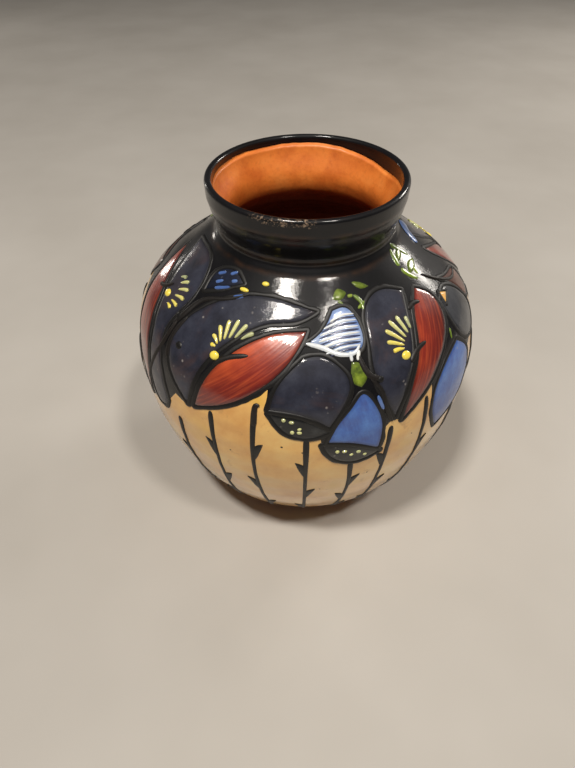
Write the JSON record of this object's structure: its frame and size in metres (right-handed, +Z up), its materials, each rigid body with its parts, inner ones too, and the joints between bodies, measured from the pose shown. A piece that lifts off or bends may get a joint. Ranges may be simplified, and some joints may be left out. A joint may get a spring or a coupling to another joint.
{
  "type": "pottery vase",
  "caption": "Small globe-shaped glazed earthenware vase with a short flared neck, painted flower sprays and a cream lower belly.",
  "frame": {"origin": "middle of the foot, on the surface that the vase stands on", "axes": "+Z up along the axis of the thrown body; -Y faces the front spray"},
  "size_m": [0.1204, 0.1204, 0.1225],
  "materials": {
    "terracotta": "bare fired red clay, fine grained, matt",
    "clear_glaze": "thin clear glaze over the red clay, orange, semi-gloss",
    "black_glaze": "deep black glaze, high gloss, brown where it is thin",
    "cream_glaze": "warm cream glaze, gloss, with small brown specks",
    "navy_glaze": "dark blue-grey glaze, gloss, faintly mottled",
    "red_glaze": "iron red glaze, gloss, orange to maroon brush streaks",
    "blue_glaze": "mid blue glaze, gloss",
    "grey_glaze": "smoky grey glaze, gloss",
    "pale_glaze": "pale blue-white glaze with dark blue stripes, gloss",
    "dark_blue_glaze": "dark blue glaze with lighter blue stripes, gloss",
    "green_glaze": "olive to leaf green glaze, gloss",
    "bell_mouth_glaze": "near-black glaze with pale dots, gloss",
    "stamen_glaze": "raised pale yellow glaze strokes, gloss",
    "black_slip": "brown-black slip lines, gloss"
  },
  "bodies": {
    "root": {"back_blue_bell": "blue_glaze", "back_blue_bell_mouth": "bell_mouth_glaze", "back_blue_petal": "blue_glaze", "back_dark_calyx": "dark_blue_glaze", "back_green_leaves": "green_glaze", "back_grey_petal": "grey_glaze", "back_navy_bell": "navy_glaze", "back_navy_bell_mouth": "bell_mouth_glaze", "back_navy_petal_left": "navy_glaze", "back_navy_petal_middle": "navy_glaze", "back_navy_petal_right": "navy_glaze", "back_pale_calyx": "pale_glaze", "back_red_petal_left": "red_glaze", "back_red_petal_middle": "red_glaze", "back_red_petal_right": "red_glaze", "back_stamens_left": "stamen_glaze", "back_stamens_middle": "stamen_glaze", "back_stamens_right": "stamen_glaze", "back_stems": "black_slip", "black_glaze_coat": "black_glaze", "clay_body": "terracotta", "cream_ground_coat": "cream_glaze", "front_blue_bell": "blue_glaze", "front_blue_bell_mouth": "bell_mouth_glaze", "front_blue_petal": "blue_glaze", "front_dark_calyx": "dark_blue_glaze", "front_green_leaves": "green_glaze", "front_grey_petal": "grey_glaze", "front_navy_bell": "navy_glaze", "front_navy_bell_mouth": "bell_mouth_glaze", "front_navy_petal_left": "navy_glaze", "front_navy_petal_middle": "navy_glaze", "front_navy_petal_right": "navy_glaze", "front_pale_calyx": "pale_glaze", "front_red_petal_left": "red_glaze", "front_red_petal_middle": "red_glaze", "front_red_petal_right": "red_glaze", "front_stamens_left": "stamen_glaze", "front_stamens_middle": "stamen_glaze", "front_stamens_right": "stamen_glaze", "front_stems": "black_slip", "interior_clear_glaze": "clear_glaze"}
  },
  "joints": []
}
